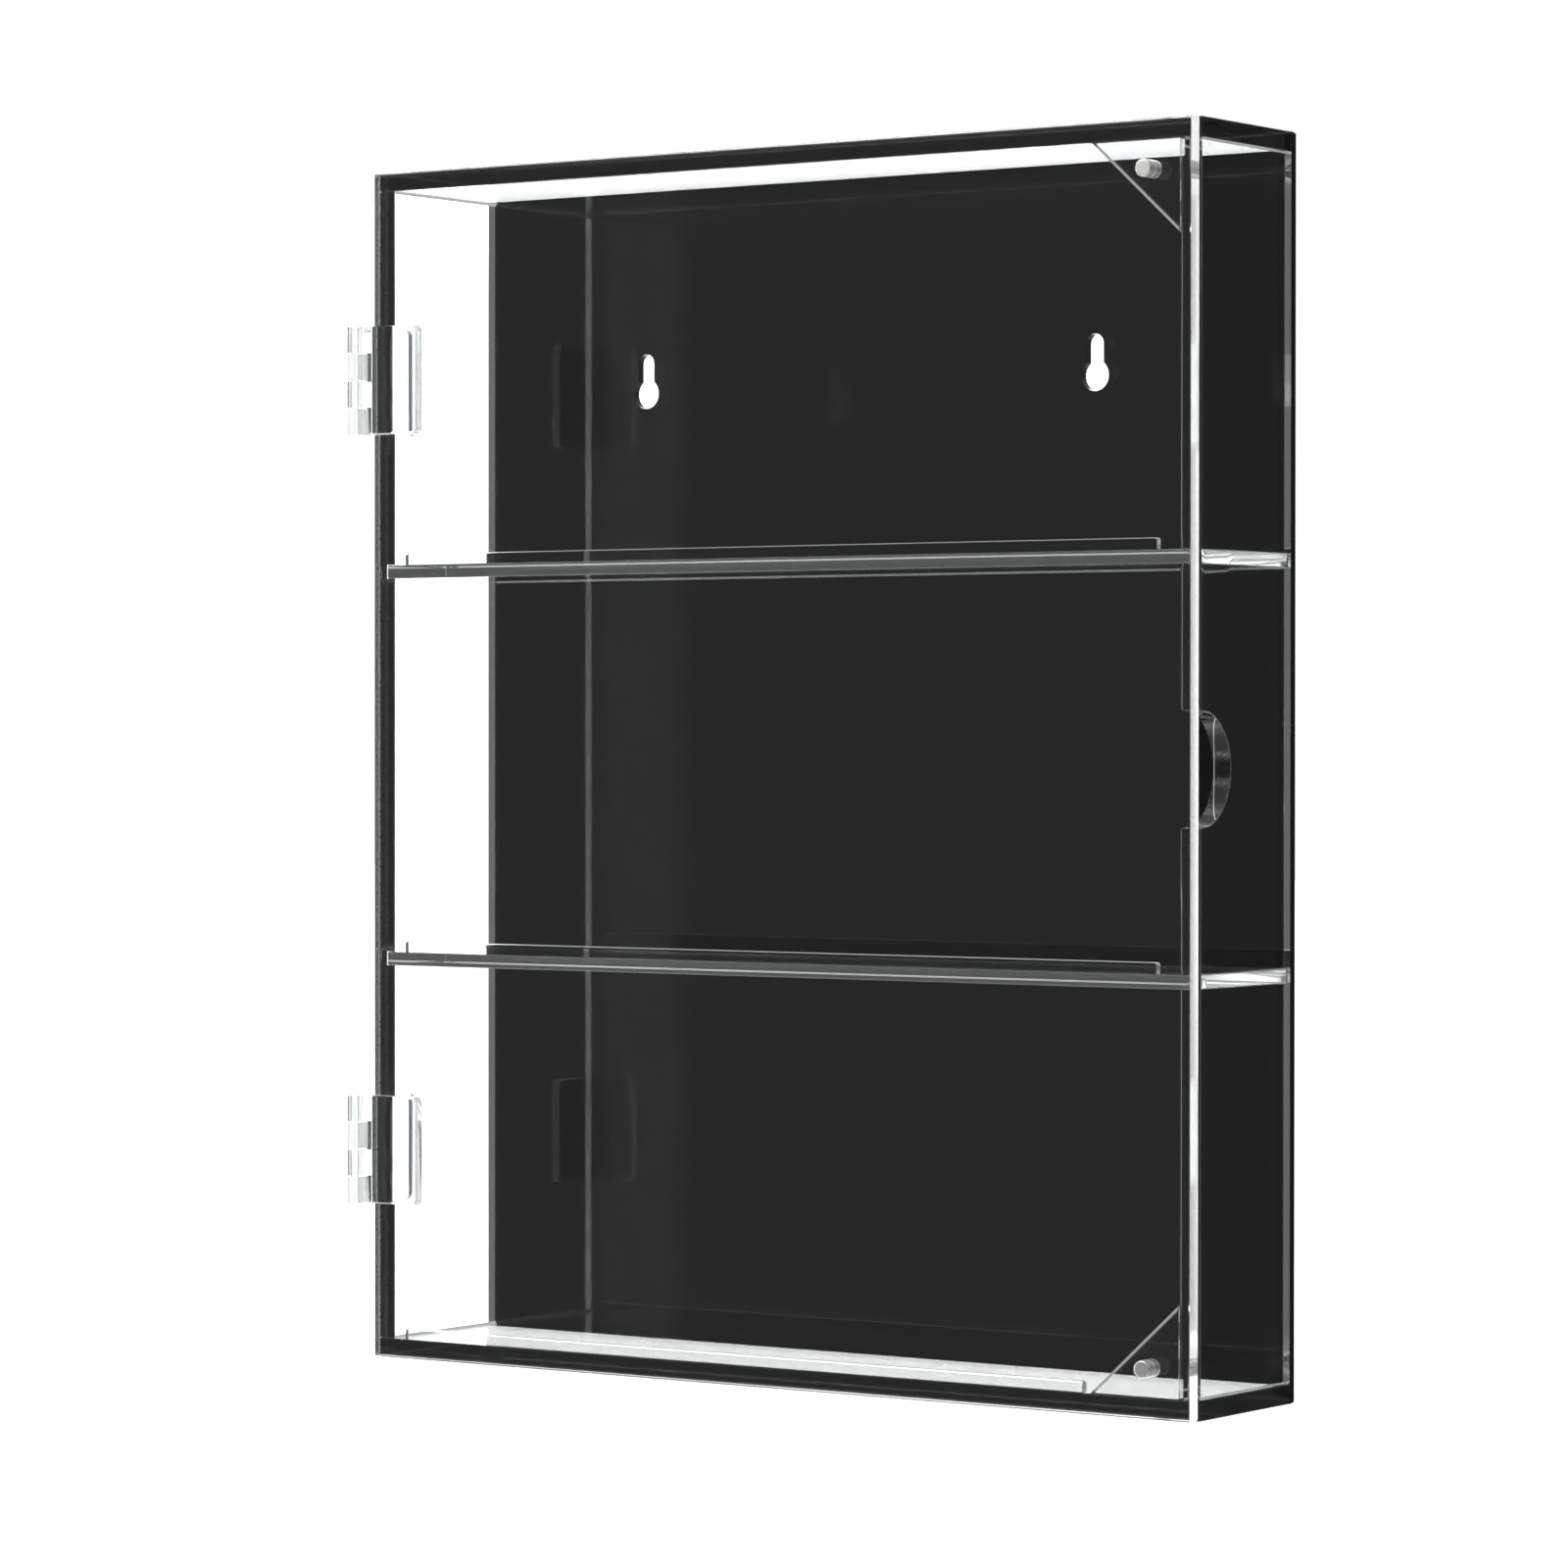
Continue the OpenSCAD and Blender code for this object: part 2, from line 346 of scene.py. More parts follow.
@dataclass(frozen=True)
class BlackCastAcrylic:
    """Opaque black cast acrylic sheet with its as-cast gloss.

    It gives the eye a deep black mirror with a faint cloudiness where fine dust and wiping dull it:
    its roughness goes from wiped to dusty, in clouds of cloud_size millimetres.
    """

    name: str = "black_cast_acrylic_gloss"
    deep: str = "#080809"
    cloud_size: float = 111.1
    wiped: float = 0.02
    dusty: float = 0.06

    def material(self) -> bpy.types.Material:
        """Builds the black sheet's node material."""
        material = new_material(self.name)
        tree = material.node_tree
        cloud = add_noise(tree, self.cloud_size, 3.0)
        shader = add_node(tree, "ShaderNodeBsdfPrincipled", {
            "Base Color": linear(self.deep), "IOR": ACRYLIC_IOR,
            "Roughness": add_ramp(tree, cloud, 0.0, 1.0, self.wiped, self.dusty),
        })
        add_node(tree, "ShaderNodeOutputMaterial", {"Surface": shader.outputs["BSDF"]})
        return material


@dataclass(frozen=True)
class NickelPlate:
    """Satin nickel plating on pressed neodymium discs.

    It gives the eye soft pale discs that mirror nothing sharply, because the pressed grain, of
    grain_size millimetres, shows through the plating.
    """

    name: str = "nickel_plate_satin"
    metal: str = "#E2E2E0"
    grain_size: float = 0.4
    smooth: float = 0.35
    grainy: float = 0.5

    def material(self) -> bpy.types.Material:
        """Builds the plating's node material."""
        material = new_material(self.name)
        tree = material.node_tree
        grain = add_noise(tree, self.grain_size, 2.0)
        shader = add_node(tree, "ShaderNodeBsdfPrincipled", {
            "Base Color": linear(self.metal), "Metallic": 1.0,
            "Roughness": add_ramp(tree, grain, 0.0, 1.0, self.smooth, self.grainy),
        })
        add_node(tree, "ShaderNodeOutputMaterial", {"Surface": shader.outputs["BSDF"]})
        return material


@dataclass(frozen=True)
class SetCement:
    """Acrylic solvent cement that has set in the corners of the joints.

    It gives the eye a thin pale line, because tiny bubbles in it scatter the light. haze is the
    share of light that they scatter, and it varies over patches of bubble_size millimetres.
    """

    name: str = "acrylic_cement_set"
    clear: str = "#F8FAFA"
    milk: str = "#E9ECEC"
    haze: float = 0.22
    unevenness: float = 0.3
    bubble_size: float = 0.4
    roughness: float = 0.12

    def material(self) -> bpy.types.Material:
        """Builds the cement's node material."""
        material = new_material(self.name)
        tree = material.node_tree
        bubbles = add_noise(tree, self.bubble_size, 2.0)
        share = add_ramp(tree, bubbles, NOISE_LOW, NOISE_HIGH,
                         (1.0 - self.unevenness) * self.haze, (1.0 + self.unevenness) * self.haze)
        gel = add_node(tree, "ShaderNodeBsdfPrincipled", {
            "Base Color": linear(self.clear), "Roughness": self.roughness, "IOR": ACRYLIC_IOR,
            "Transmission Weight": 1.0,
        })
        milky = add_node(tree, "ShaderNodeBsdfDiffuse", {"Color": linear(self.milk)})
        mixed = add_node(tree, "ShaderNodeMixShader", {
            "Fac": share, 1: gel.outputs["BSDF"], 2: milky.outputs["BSDF"],
        })
        add_node(tree, "ShaderNodeOutputMaterial", {"Surface": mixed.outputs["Shader"]})
        return material


@dataclass(frozen=True)
class Fit:
    """How one face of a piece meets its neighbour.

    side is 1 for the face on the axis's plus side and -1 for the one on its minus side. move is
    how far the face goes outwards, in metres. square says whether the fine arris round the face is
    filled out, because a joint with air in that corner would light up.
    """

    axis: Axis
    side: int
    move: float
    square: bool

    def level(self, node: str) -> float:
        """Says where on the axis this face of a CAD node lies, in metres."""
        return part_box(node)[(self.side + 1) // 2][self.axis.index]


def bonded(axis: Axis, side: int) -> Fit:
    """A face that is solvent bonded to its neighbour, so no air is left in the joint."""
    return Fit(axis, side, HAIR, True)


def butted(axis: Axis, side: int) -> Fit:
    """A face that cement holds by its corners only, so a film of air is left behind it."""
    return Fit(axis, side, -HAIR, True)


def dry(axis: Axis, side: int) -> Fit:
    """A face that only rests against its neighbour, with a film of air between."""
    return Fit(axis, side, -HAIR, False)


def flush(axis: Axis, side: int) -> Fit:
    """A face that stays where it is, with a square outline, because others are bonded on it."""
    return Fit(axis, side, 0.0, True)


@dataclass(frozen=True)
class Rim:
    """Edges inside a box, in millimetres, that get a wider round-over than the rest of the piece."""

    lo: tuple[float, float, float]
    hi: tuple[float, float, float]
    radius: float
    segments: int = 3

    def holds(self, edge: bmesh.types.BMEdge) -> bool:
        """Says whether both ends of an edge lie in the box."""
        return all(self.lo[i] <= vert.co[i] / MM <= self.hi[i] for vert in edge.verts for i in range(3))


def square_off(bed: bmesh.types.BMesh, node: str, fit: Fit, depth: float = 0.8, reach: float = 1.1) -> None:
    """Fills out the fine rounded arris round a face that others are bonded to.

    Args:
        bed: The mesh.
        node: The CAD node that it was copied from.
        fit: The bonded face.
        depth: Share of the arris, measured from the face, that is filled out.
        reach: How far in from the outline its vertices are looked for, as a share of the arris.
    """
    lo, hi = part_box(node)
    level = fit.level(node)
    across = [axis.index for axis in Axis if axis != fit.axis]
    for vert in bed.verts:
        if abs(vert.co[fit.axis.index] - level) < depth * ARRIS:
            for axis in across:
                for bound in (lo[axis], hi[axis]):
                    if abs(vert.co[axis] - bound) < reach * ARRIS:
                        vert.co[axis] = bound


def merged_copy(node: str, fits: tuple[Fit, ...]) -> bmesh.types.BMesh:
    """Copies a CAD node's mesh and merges its facets into whole faces.

    Args:
        node: The CAD node.
        fits: How its faces meet their neighbours.

    Returns:
        The copy, with the arrises filled out round each face that stays square.
    """
    bed = bmesh.new()
    bed.from_mesh(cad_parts[node].data)
    for fit in fits:
        if fit.square:
            square_off(bed, node, fit)
    bmesh.ops.remove_doubles(bed, verts=bed.verts, dist=WELD)
    bmesh.ops.dissolve_degenerate(bed, dist=WELD, edges=bed.edges)
    bmesh.ops.dissolve_limit(bed, angle_limit=FLAT, verts=bed.verts, edges=bed.edges)
    return bed


def fit_faces(bed: bmesh.types.BMesh, node: str, fits: tuple[Fit, ...]) -> set[bmesh.types.BMVert]:
    """Moves the faces that meet a neighbour.

    Args:
        bed: The mesh.
        node: The CAD node that it was copied from.
        fits: How its faces meet their neighbours.

    Returns:
        The vertices of the faces that stay square.
    """
    square: set[bmesh.types.BMVert] = set()
    for fit in fits:
        level = fit.level(node)
        joined = [v for v in bed.verts if abs(v.co[fit.axis.index] - level) < ON_FACE]
        for vert in joined:
            vert.co[fit.axis.index] += fit.side * fit.move
        if fit.square:
            square.update(joined)
    return square


def round_edges(
    bed: bmesh.types.BMesh, edges: list[bmesh.types.BMEdge], radius: float, segments: int
) -> None:
    """Rounds sharp edges of a mesh.

    Args:
        bed: The mesh.
        edges: The edges to choose the sharp ones from.
        radius: Width of the round-over, in metres.
        segments: Faces across it.
    """
    sharp = [e for e in edges if len(e.link_faces) == 2 and e.calc_face_angle(0.0) > SHARP]
    if sharp and radius > 0.0:
        bmesh.ops.bevel(bed, geom=sharp, offset=radius, offset_type="OFFSET", segments=segments,
                        profile=0.5, affect="EDGES", material=-1, clamp_overlap=True)


def round_piece(
    bed: bmesh.types.BMesh, rims: tuple[Rim, ...], square: set[bmesh.types.BMVert],
    edge: float, segments: int,
) -> None:
    """Rounds a piece's edges and keeps it inside the box that it had before.

    Args:
        bed: The mesh.
        rims: Edges with a wider round-over.
        square: Vertices of faces whose outline stays sharp.
        edge: Radius of all other rounded edges, in metres.
        segments: Faces across each of those.
    """
    low = [min(v.co[axis] for v in bed.verts) for axis in range(3)]
    high = [max(v.co[axis] for v in bed.verts) for axis in range(3)]
    wide = {rim: [e for e in bed.edges if rim.holds(e)] for rim in rims}
    kept = {e for edges in wide.values() for e in edges}
    kept.update(e for e in bed.edges if e.verts[0] in square and e.verts[1] in square)
    plain = [e for e in bed.edges if e not in kept]
    for rim, edges in wide.items():
        round_edges(bed, edges, rim.radius, rim.segments)
    round_edges(bed, [e for e in plain if e.is_valid], edge, segments)
    for vert in bed.verts:
        for axis in range(3):
            vert.co[axis] = min(max(vert.co[axis], low[axis]), high[axis])


def swell_out(bed: bmesh.types.BMesh, swell: float) -> None:
    """Moves every face of a mesh outwards by a distance in metres."""
    bed.normal_update()
    for vert in bed.verts:
        vert.co += vert.normal * swell


def add_piece(bed: bmesh.types.BMesh, name: str, material: bpy.types.Material,
              body: Body) -> bpy.types.Object:
    """Turns a finished mesh into a piece of the scene.

    Args:
        bed: The mesh; it is freed.
        name: The piece's name.
        material: The finish.
        body: The body that it rides on.

    Returns:
        The piece.
    """
    mesh = bpy.data.meshes.new(name)
    bed.to_mesh(mesh)
    bed.free()
    mesh.materials.append(material)
    piece = bpy.data.objects.new(name, mesh)
    bpy.context.scene.collection.objects.link(piece)
    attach(piece, body.value)
    LOG.info("%s: %d faces in %s", name, len(mesh.polygons), material.name)
    return piece


def polished(
    node: str, material: bpy.types.Material, body: Body, fits: tuple[Fit, ...] = (),
    swell: float = 0.0, edge: float = FINE_EDGE, segments: int = 2, rims: tuple[Rim, ...] = (),
) -> None:
    """Makes the finished piece of a CAD node: merged, its joints fitted, its sharp edges rounded.

    Args:
        node: The CAD node that the piece stands for.
        material: The finish.
        body: The body that it rides on.
        fits: How its faces meet their neighbours.
        swell: How far every face moves outwards, in metres.
        edge: Radius of the rounded edges, in metres; 0 leaves them as they are.
        segments: Faces across each rounded edge.
        rims: Edges with a wider round-over.
    """
    bed = merged_copy(node, fits)
    square = fit_faces(bed, node, fits)
    round_piece(bed, rims, square, edge, segments)
    if swell:
        swell_out(bed, swell)
    for line in bed.edges:
        if len(line.link_faces) == 2 and line.calc_face_angle(0.0) > HARD:
            line.smooth = False
    piece = add_piece(bed, node + "_finished", material, body)
    piece.data.shade_smooth()
    even = piece.modifiers.new("even_shading", "WEIGHTED_NORMAL")
    even.mode = "FACE_AREA"
    even.weight = 50
    even.keep_sharp = True
    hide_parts(node)


@dataclass
class CaseShell:
    """The five bonded sheets: back, top, bottom and the two sides.

    The right side has the finger notch, half round, in the middle of its front edge. Its rim is
    looked for from notch_start to notch_end behind that edge, up to notch_half above and below the
    middle and up to near beside the sheet, all in millimetres.
    """

    edge: float = FINE_EDGE
    notch_start: float = 0.85
    notch_end: float = 20.85
    notch_half: float = 21.0
    notch_edge: float = 0.5 * MM
    near: float = 1.0

    def notch(self) -> Rim:
        """Finds the rim of the finger notch in the right side panel."""
        lo, hi = (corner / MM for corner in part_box("right_side_panel"))
        middle = (lo.z + hi.z) / 2.0
        return Rim((lo.x - self.near, lo.y + self.notch_start, middle - self.notch_half),
                   (hi.x + self.near, lo.y + self.notch_end, middle + self.notch_half), self.notch_edge)

    def build(self, clear: dict[Axis, bpy.types.Material], black: bpy.types.Material) -> None:
        """Makes the shell.

        Args:
            clear: Clear acrylic, by the axis that the broad faces look along.
            black: Black acrylic.
        """
        for name in ("top_panel", "bottom_panel"):
            polished(name, clear[Axis.Z], Body.CASE, (bonded(Axis.Y, 1),), edge=self.edge)
        fits = (dry(Axis.Y, 1), butted(Axis.Z, 1), butted(Axis.Z, -1))
        for name, rims in (("left_side_panel", ()), ("right_side_panel", (self.notch(),))):
            polished(name, clear[Axis.X], Body.CASE, fits, edge=self.edge, rims=rims)
        polished("back_panel", black, Body.CASE, (flush(Axis.Y, -1),), edge=self.edge)


@dataclass
class Tiers:
    """The two grooved shelves and the three front lips."""

    shelves: tuple[str, ...] = ("upper_shelf", "lower_shelf")
    lips: tuple[str, ...] = ("upper_shelf_lip", "lower_shelf_lip", "bottom_lip")
    lip_edge: float = 0.5 * MM

    def build(self, shelf: bpy.types.Material, lip: bpy.types.Material) -> None:
        """Makes the shelves and lips.

        Args:
            shelf: Clear acrylic with a sawn front edge.
            lip: Clear acrylic that stands on edge, sawn on top.
        """
        for name in self.shelves:
            polished(name, shelf, Body.CASE, (dry(Axis.Y, 1),))
        for name in self.lips:
            polished(name, lip, Body.CASE, (bonded(Axis.Z, -1),), edge=self.lip_edge,
                     segments=3)


@dataclass
class MagnetCatch:
    """The corner gussets and the four magnets, which are pressed in and so fill their holes."""

    case_magnets: tuple[str, ...] = ("upper_case_magnet", "lower_case_magnet")
    door_magnets: tuple[str, ...] = ("upper_door_magnet", "lower_door_magnet")
    gusset_edge: float = 0.15 * MM
    magnet_edge: float = 0.25 * MM
    press_fit: float = 0.02 * MM

    def build(self, sheet: bpy.types.Material, nickel: bpy.types.Material) -> None:
        """Makes the gussets and the magnets.

        Args:
            sheet: Clear acrylic whose broad faces look to the front and back.
            nickel: Nickel plating.
        """
        for name, end in (("upper_corner_gusset", 1), ("lower_corner_gusset", -1)):
            polished(name, sheet, Body.CASE, (bonded(Axis.X, 1), bonded(Axis.Z, end)),
                     edge=self.gusset_edge)
        for names, body in ((self.case_magnets, Body.CASE), (self.door_magnets, Body.DOOR)):
            for name in names:
                polished(name, nickel, body, (dry(Axis.Y, 1), dry(Axis.Y, -1)),
                         swell=self.press_fit, edge=self.magnet_edge)


@dataclass
class Bead:
    """One fillet of set cement with a hollow face, along the corner of a joint.

    It runs from start to end. first and second point along the two sheets, away from the corner,
    and leg is its reach along each, in metres.
    """

    name: str
    start: Vector
    end: Vector
    first: Vector
    second: Vector
    leg: float
    arc_steps: int = 5

    def build(self, cement: bpy.types.Material) -> None:
        """Makes the bead, its two flat faces sunk into the sheets by a hair."""
        inset = (self.end - self.start).normalized() * HAIR * 2.0
        bed = bmesh.new()
        ring = [bed.verts.new(self.start + inset - (self.first + self.second) * HAIR)]
        for step in range(self.arc_steps + 1):
            turn = math.radians(90.0) * step / self.arc_steps
            along_first = self.first * self.leg * (1.0 - math.sin(turn))
            along_second = self.second * self.leg * (1.0 - math.cos(turn))
            sink = Vector()
            if step == 0:
                sink = self.second * HAIR
            elif step == self.arc_steps:
                sink = self.first * HAIR
            ring.append(bed.verts.new(self.start + inset + (along_first + along_second) - sink))
        cap = bed.faces.new(ring)
        grown = bmesh.ops.extrude_face_region(bed, geom=[cap])["geom"]
        moved = [item for item in grown if isinstance(item, bmesh.types.BMVert)]
        bmesh.ops.translate(bed, verts=moved, vec=(self.end - self.start) - inset * 2.0)
        bmesh.ops.recalc_face_normals(bed, faces=bed.faces)
        add_piece(bed, self.name, cement, Body.CASE)


@dataclass
class CementBeads:
    """The thin fillets that solvent cement leaves along the joints of the sheets.

    The left ones are thicker. They hold to the top and bottom panels and stand off from the side
    panel, so that the side panel's own mirror images stay clean.
    """

    left_leg: float = 1.1 * MM
    leg: float = 0.5 * MM
    stand_off: float = 2.0 * HAIR

    def build(self, cement: bpy.types.Material, milky: bpy.types.Material) -> None:
        """Lays a bead along every joint whose fillet shows.

        Args:
            cement: Set acrylic cement.
            milky: The same where it was laid on thicker.
        """
        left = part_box("left_side_panel")[1].x
        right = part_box("right_side_panel")[0].x
        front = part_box("left_side_panel")[0].y
        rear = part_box("back_panel")[0].y
        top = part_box("top_panel")[0].z
        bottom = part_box("bottom_panel")[1].z
        rightwards, leftwards = Vector((1.0, 0.0, 0.0)), Vector((-1.0, 0.0, 0.0))
        down, up, out = Vector((0.0, 0.0, -1.0)), Vector((0.0, 0.0, 1.0)), Vector((0.0, -1.0, 0.0))
        sides = (("left", left + self.stand_off, rightwards, self.left_leg, milky),
                 ("right", right, leftwards, self.leg, cement))
        for side, x, inward, leg, filler in sides:
            for level, z, way in (("top", top, down), ("bottom", bottom, up)):
                Bead(f"{level}_{side}_bead", Vector((x, front, z)), Vector((x, rear, z)),
                     inward, way, leg).build(filler)
        for shelf in ("upper_shelf", "lower_shelf"):
            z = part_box(shelf)[0].z
            Bead(f"{shelf}_rear_bead", Vector((left, rear, z)), Vector((right, rear, z)),
                 out, down, self.leg).build(cement)


@dataclass
class PinnedHinges:
    """The four hinge leaves and the two pins.

    plate is the thickness of a leaf's plate, and near how far from its outer face edges are looked
    for, in millimetres. The outline of the door leaf's plate has a wide round-over, plate_edge, from
    the case's left side onwards.
    """

    edge: float = 0.15 * MM
    plate: float = 3.6
    plate_edge: float = 0.8 * MM
    near: float = 0.1
    press_fit: float = 0.02 * MM

    def plate_rim(self, leaf: str) -> Rim:
        """Finds the outline of a door leaf's plate."""
        lo, hi = (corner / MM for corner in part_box(leaf))
        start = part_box("left_side_panel")[0].x / MM
        face = hi.y - self.plate
        return Rim((start, face - self.near, lo.z - self.near),
                   (hi.x + self.near, face + self.near, hi.z + self.near), self.plate_edge)

    def build(self, on_case_side: bpy.types.Material, on_door_front: bpy.types.Material) -> None:
        """Makes the hinges.

        Args:
            on_case_side: Clear moulded acrylic for the leaves on the case's side.
            on_door_front: The same for the leaves on the door's front, and the pins.
        """
        for level in ("upper", "lower"):
            case_leaf, door_leaf = f"{level}_hinge_case_leaf", f"{level}_hinge_door_leaf"
            polished(case_leaf, on_case_side, Body.CASE, (dry(Axis.X, 1),),
                     edge=self.edge)
            polished(door_leaf, on_door_front, Body.DOOR, (bonded(Axis.Y, 1),),
                     edge=self.edge, rims=(self.plate_rim(door_leaf),))
            polished(f"{level}_hinge_pin", on_door_front, Body.CASE,
                     swell=self.press_fit, edge=0.0)


@dataclass
class DoorSheet:
    """The door's clear sheet."""

    name: str = "door_panel"

    def build(self, sheet: bpy.types.Material) -> None:
        """Makes the door of clear acrylic whose broad faces look to the front and back."""
        polished(self.name, sheet, Body.DOOR)


@dataclass(frozen=True)
class Wash:
    """A soft patch of light on the studio's walls, as gloss and clear sheets see it.

    azimuth turns it left from the case's back (+Y), half and soft are its half width and the width
    of its fading edge, all in degrees, and radiance is its brightness, where white is 1. One with no
    radiance of its own is the white backdrop, whose brightness the studio sets. One with most_faces
    is seen only through fewer faces of clear sheet than that.
    """

    azimuth: float
    half: float
    soft: float
    radiance: float = 0.0
    most_faces: float = 0.0


@dataclass(frozen=True)
class SoftBox:
    """A soft lamp that faces the case.

    place is its centre and size its width and height, in metres. radiance is how bright its face
    is, where white is 1.
    """

    name: str
    place: tuple[float, float, float]
    size: tuple[float, float]
    radiance: float

    def build(self, target: Vector) -> None:
        """Hangs the lamp and turns it to a point."""
        data = bpy.data.lights.new(self.name, "AREA")
        data.shape = "RECTANGLE"
        data.size, data.size_y = self.size
        data.energy = self.radiance * math.pi * self.size[0] * self.size[1]
        lamp = bpy.data.objects.new(self.name, data)
        lamp.location = self.place
        lamp.rotation_euler = (target - lamp.location).to_track_quat("-Z", "Y").to_euler()
        lamp.visible_camera = False
        lamp.visible_transmission = False
        bpy.context.scene.collection.objects.link(lamp)


@dataclass
class Studio:
    """Camera, pale floor, white surround and soft lamps.

    lens and sensor are in millimetres, and yaw, pitch, roll and the angles above the horizon in
    degrees. The white values, room and ceiling are radiances, where white is 1. Light that has been
    bent or mirrored sees a room instead of plain white: a level wall that turns brighter above and
    below the cove, and behind mirrored light a dim room with a soft ceiling.
    """

    lens: float = 128.476
    sensor: float = 36.0
    clip_start: float = 0.05
    place: tuple[float, float, float] = (1.13429, -1.65682, 0.23274)
    yaw: float = 34.743
    pitch: float = -0.540
    roll: float = 0.037
    wall_white: float = 1.3
    upper_white: float = 5.0
    lower_white: float = 3.0
    mirrored_white: float = 2.5
    cove_start: float = 4.4
    cove_end: float = 5.2
    room: float = 0.02
    through_room: float = 0.3
    ceiling: float = 0.5
    ceiling_start: float = 12.0
    ceiling_end: float = 35.0
    floor_half: float = 6.0
    floor_drop: float = 0.5 * MM
    paper: str = "#D8D8D8"
    paper_glow: float = 0.75
    clear_bounces: int = 64
    transparent_bounces: int = 32
    matt_bounces: int = 3
    brightest_bounce: float = 12.0
    washes: tuple[Wash, ...] = (
        Wash(azimuth=34.743, half=12.0, soft=10.0),
        Wash(azimuth=80.0, half=25.0, soft=12.0, radiance=0.6),
        Wash(azimuth=-34.743, half=15.0, soft=20.0, radiance=0.03),
        Wash(azimuth=-100.0, half=15.0, soft=20.0, radiance=0.5),
        Wash(azimuth=145.3, half=20.0, soft=35.0, radiance=0.14, most_faces=4.5),
    )
    lamps: tuple[SoftBox, ...] = (
        SoftBox("front_soft_box", (-1.25, -1.75, 1.45), (1.0, 0.5), 9.0),
        SoftBox("overhead_soft_box", (-1.35, -0.15, 2.15), (1.2, 1.2), 12.0),
        SoftBox("side_soft_box", (1.9, -0.9, 1.5), (0.8, 0.8), 9.0),
    )

    def build(self) -> None:
        """Builds the whole studio."""
        self.add_camera()
        self.add_surround()
        self.add_floor()
        middle = Vector((0.0, 0.0, (CAD_BOX[0][2] + CAD_BOX[1][2]) / 2.0))
        for lamp in self.lamps:
            lamp.build(middle)
        self.set_light_paths()

    def add_camera(self) -> None:
        """Places the camera at the photograph's viewpoint."""
        data = bpy.data.cameras.new("photo_camera")
        data.lens = self.lens
        data.sensor_width = self.sensor
        data.sensor_fit = "HORIZONTAL"
        data.clip_start = self.clip_start
        camera = bpy.data.objects.new("photo_camera", data)
        aim = Euler((math.radians(90.0 + self.pitch), 0.0, math.radians(self.yaw)), "XYZ").to_matrix()
        turn = Euler((0.0, 0.0, math.radians(self.roll)), "XYZ").to_matrix()
        camera.matrix_world = (aim @ turn).to_4x4()
        camera.location = self.place
        bpy.context.scene.collection.objects.link(camera)
        bpy.context.scene.camera = camera

    def add_surround(self) -> None:
        """Lights the scene with a white surround that gloss sees as a dim room."""
        world = bpy.data.worlds.new("white_surround")
        world.use_nodes = True
        tree = world.node_tree
        tree.nodes.clear()
        path = add_node(tree, "ShaderNodeLightPath").outputs
        way = add_node(tree, "ShaderNodeTexCoord").outputs["Generated"]
        height = add_node(tree, "ShaderNodeSeparateXYZ", {0: way}).outputs["Z"]
        mirrored = add_math(tree, "GREATER_THAN", path["Glossy Depth"], 0.5)
        backdrop = self.add_backdrop(tree, height, mirrored)
        light = self.add_room(tree, height, mirrored)
        for wash in self.washes:
            light = self.add_wash(tree, wash, way, path["Transmission Depth"], backdrop, light)
        bends = add_math(tree, "ADD", path["Glossy Depth"], path["Transmission Depth"])
        bent = add_math(tree, "GREATER_THAN", bends, 0.5)
        matt = add_math(tree, "LESS_THAN", path["Diffuse Depth"], 0.5)
        seen = add_math(tree, "MULTIPLY", bent, matt)
        level = add_node(tree, "ShaderNodeMix", {"Factor": seen, "A": 1.0, "B": light})
        glow = add_node(tree, "ShaderNodeBackground", {
            "Color": linear("#FFFFFF"), "Strength": level.outputs["Result"],
        })
        add_node(tree, "ShaderNodeOutputWorld", {"Surface": glow.outputs["Background"]})
        bpy.context.scene.world = world

    def add_backdrop(
        self, tree: bpy.types.NodeTree, height: bpy.types.NodeSocket, mirrored: bpy.types.NodeSocket
    ) -> bpy.types.NodeSocket:
        """Makes the white backdrop, which turns brighter above and below the cove.

        Args:
            tree: The world's node tree.
            height: Sine of the angle above the horizon.
            mirrored: 1 for light that gloss has mirrored.

        Returns:
            Its radiance.
        """
        start = math.sin(math.radians(self.cove_start))
        end = math.sin(math.radians(self.cove_end))
        above = add_ramp(tree, height, start, end, self.wall_white, self.upper_white, "SMOOTHSTEP")
        below = add_ramp(tree, height, -start, -end, 0.0, self.lower_white - self.wall_white, "SMOOTHSTEP")
        return add_node(tree, "ShaderNodeMix", {
            "Factor": mirrored, "A": add_math(tree, "ADD", above, below), "B": self.mirrored_white,
        }).outputs["Result"]

    def add_room(
        self, tree: bpy.types.NodeTree, height: bpy.types.NodeSocket, mirrored: bpy.types.NodeSocket
    ) -> bpy.types.NodeSocket:
        """Makes the dim room, with a soft ceiling and as soft a floor for mirrored light.

        Args:
            tree: The world's node tree.
            height: Sine of the angle above the horizon.
            mirrored: 1 for light that gloss has mirrored.

        Returns:
            Its radiance.
        """
        overhead = add_ramp(
            tree, add_math(tree, "ABSOLUTE", height), math.sin(math.radians(self.ceiling_start)),
            math.sin(math.radians(self.ceiling_end)), self.room, self.ceiling, "SMOOTHSTEP")
        return add_node(tree, "ShaderNodeMix", {
            "Factor": mirrored, "A": self.through_room, "B": overhead,
        }).outputs["Result"]

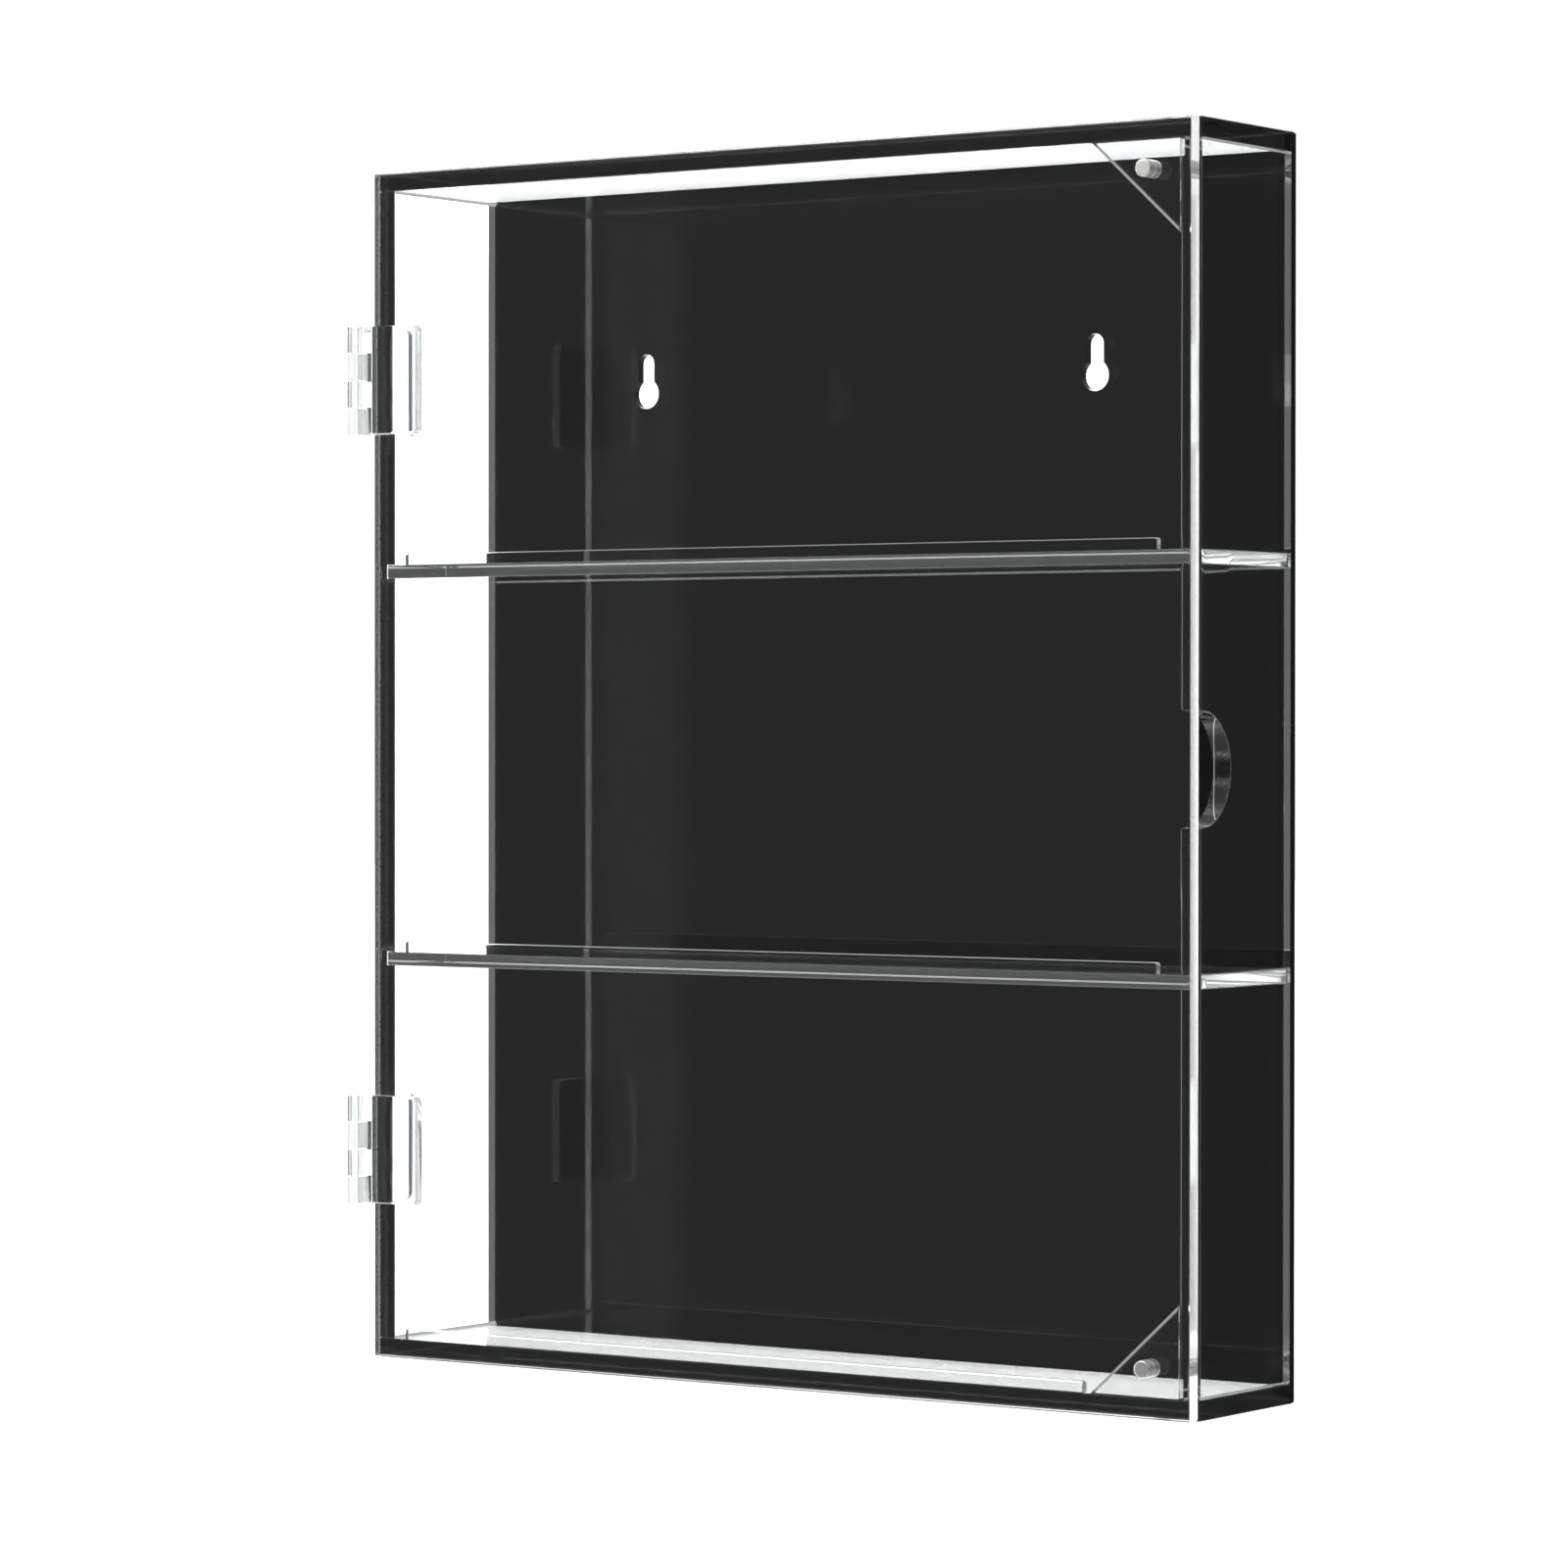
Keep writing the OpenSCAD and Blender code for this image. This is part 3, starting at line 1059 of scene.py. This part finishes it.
    @staticmethod
    def add_wash(
        tree: bpy.types.NodeTree, wash: Wash, way: bpy.types.NodeSocket, faces: bpy.types.NodeSocket,
        backdrop: bpy.types.NodeSocket, light: bpy.types.NodeSocket,
    ) -> bpy.types.NodeSocket:
        """Adds one wash to the light.

        Args:
            tree: The world's node tree.
            wash: The wash.
            way: Direction that is looked at.
            faces: How many faces of clear sheet the light came through.
            backdrop: Radiance of the white backdrop.
            light: The light so far.

        Returns:
            The light with the wash.
        """
        level_way = add_node(tree, "ShaderNodeVectorMath", {0: way, 1: (1.0, 1.0, 0.0)},
                             operation="MULTIPLY")
        flat_way = add_node(tree, "ShaderNodeVectorMath", {0: level_way.outputs["Vector"]},
                            operation="NORMALIZE")
        turn = math.radians(wash.azimuth)
        facing = add_node(tree, "ShaderNodeVectorMath", {
            0: flat_way.outputs["Vector"], 1: (-math.sin(turn), math.cos(turn), 0.0),
        }, operation="DOT_PRODUCT").outputs["Value"]
        glow = add_ramp(tree, facing, math.cos(math.radians(wash.half + wash.soft)),
                        math.cos(math.radians(wash.half)), 0.0, 1.0, "SMOOTHSTEP")
        if wash.most_faces:
            clear = add_math(tree, "LESS_THAN", faces, wash.most_faces)
            glow = add_math(tree, "MULTIPLY", clear, glow)
        return add_math(tree, "MULTIPLY_ADD", glow, wash.radiance or backdrop, light)

    def add_floor(self) -> None:
        """Lays a plain pale floor under the case, which clear and gloss sheets don't see."""
        bed = bmesh.new()
        bmesh.ops.create_grid(bed, x_segments=2, y_segments=2, size=self.floor_half)
        mesh = bpy.data.meshes.new("floor")
        bed.to_mesh(mesh)
        bed.free()
        floor = bpy.data.objects.new("floor", mesh)
        floor.location.z = -self.floor_drop
        bpy.context.scene.collection.objects.link(floor)
        mesh.materials.append(self.studio_paper())

    def studio_paper(self) -> bpy.types.Material:
        """Makes white studio paper, lit evenly so that it gives the eye one pale ground."""
        material = new_material("white_studio_paper")
        tree = material.node_tree
        path = add_node(tree, "ShaderNodeLightPath").outputs
        bends = add_math(tree, "ADD", path["Glossy Depth"], path["Transmission Depth"])
        glossed = add_math(tree, "GREATER_THAN", bends, 0.5)
        paper = add_node(tree, "ShaderNodeBsdfDiffuse", {"Color": linear(self.paper)})
        glow = add_node(tree, "ShaderNodeEmission", {
            "Color": linear("#FFFFFF"), "Strength": self.paper_glow,
        })
        lit = add_node(tree, "ShaderNodeAddShader", {0: paper.outputs["BSDF"], 1: glow.outputs["Emission"]})
        clear = add_node(tree, "ShaderNodeBsdfTransparent")
        mixed = add_node(tree, "ShaderNodeMixShader", {
            "Fac": glossed, 1: lit.outputs["Shader"], 2: clear.outputs["BSDF"],
        })
        add_node(tree, "ShaderNodeOutputMaterial", {"Surface": mixed.outputs["Shader"]})
        return material

    def set_light_paths(self) -> None:
        """Lets light pass through many sheets, and keeps the colours as they are."""
        scene = bpy.context.scene
        scene.view_settings.view_transform = "Standard"
        scene.view_settings.look = "None"
        scene.cycles.max_bounces = self.clear_bounces
        scene.cycles.transmission_bounces = self.clear_bounces
        scene.cycles.glossy_bounces = self.clear_bounces
        scene.cycles.transparent_max_bounces = self.transparent_bounces
        scene.cycles.diffuse_bounces = self.matt_bounces
        scene.cycles.blur_glossy = 0.0
        scene.cycles.sample_clamp_indirect = self.brightest_bounce


def main() -> None:
    """Builds the studio and dresses every sub-assembly in order."""
    Studio().build()
    # The plain sheets are seen by what they bend and mirror, and their polished edges are clear.
    clear = {axis: ClearCastAcrylic(broad=axis).material() for axis in Axis}
    # The shelves' sawn front edges read as soft grey bands across the black back.
    shelf = ClearCastAcrylic(
        "clear_cast_acrylic_sawn", Axis.Z, sawn_roughness=0.03, sawn_haze=0.09)
    # The lips' sawn tops read as thin pale lines.
    lip = ClearCastAcrylic(
        "clear_cast_acrylic_lip", Axis.Y, sawn_side=Axis.Z, sawn_way=1.0, sawn_roughness=0.1,
        sawn_haze=0.5)
    # The door's satin edges read as a bright strip on the right and an even grey one on the left.
    door = ClearCastAcrylic(
        "clear_cast_acrylic_door", Axis.Y, edge_roughness=0.1, sawn_side=Axis.X,
        sawn_roughness=0.3, sawn_haze=0.03)
    # The hinges' moulded edges are a little frosted, so they still show on white.
    moulded = {axis: ClearCastAcrylic("clear_moulded_acrylic", axis, edge_haze=haze).material()
               for axis, haze in ((Axis.X, 0.35), (Axis.Y, 0.2))}
    # Where more cement was laid on, the joint reads as a pale grey line on white.
    thick_cement = SetCement("acrylic_cement_set_milky", milk="#F4F6F6", haze=0.95)
    CaseShell().build(clear, BlackCastAcrylic().material())
    Tiers().build(shelf.material(), lip.material())
    MagnetCatch().build(clear[Axis.Y], NickelPlate().material())
    CementBeads().build(SetCement().material(), thick_cement.material())
    PinnedHinges().build(moulded[Axis.X], moulded[Axis.Y])
    DoorSheet().build(door.material())


if __name__ == "__main__":
    main()
